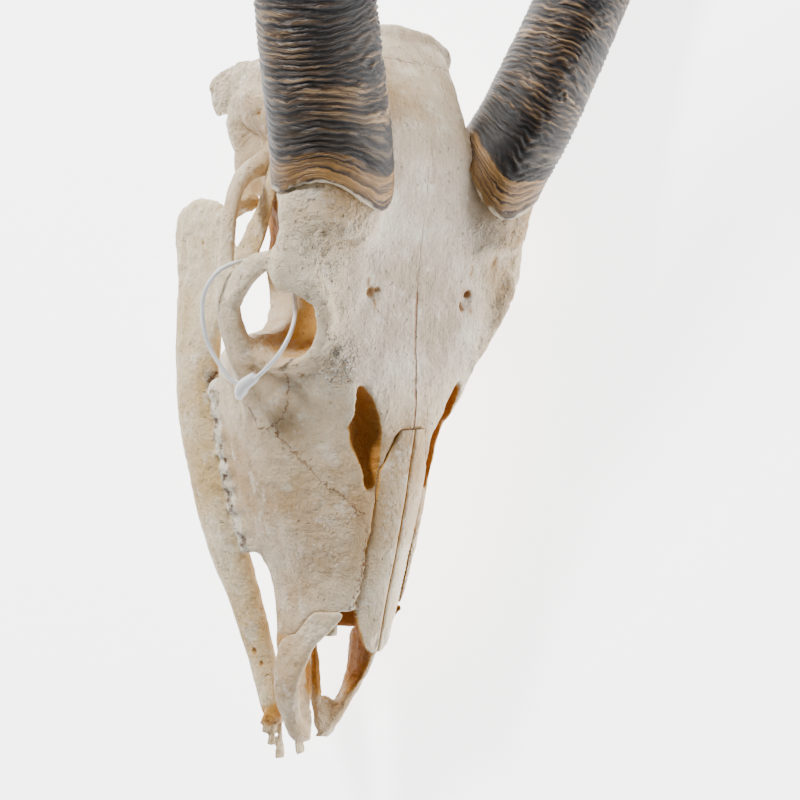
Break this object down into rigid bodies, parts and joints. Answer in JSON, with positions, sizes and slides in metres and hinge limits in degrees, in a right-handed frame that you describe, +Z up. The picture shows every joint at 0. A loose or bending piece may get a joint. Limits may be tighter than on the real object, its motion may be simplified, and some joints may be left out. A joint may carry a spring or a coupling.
{
  "type": "bongo antelope skull",
  "caption": "Horned antelope skull with its lower jaw, lying on its left side, with a plastic tag loop round the cheek arch.",
  "frame": {"origin": "centre of the bounding box, at the level of the floor that the skull lies on", "axes": "+Y from the nose towards the horn tips, the longest way; +Z up; +X the way the forehead and the horns lean"},
  "size_m": [0.5778, 0.7004, 0.3606],
  "materials": {
    "bone": "dry ivory bone",
    "jaw": "dry yellowish bone",
    "horn": "rough wrinkled horn",
    "plastic": "smooth white plastic"
  },
  "bodies": {
    "root": {"cranium": "bone", "nasal_right": "bone", "nasal_left": "bone", "premaxilla_right": "bone", "premaxilla_left": "bone", "mandible_right": "jaw", "mandible_left": "jaw", "horn_right": "horn", "horn_left": "horn", "tag_loop": "plastic", "tag_clasp": "plastic"}
  },
  "joints": []
}
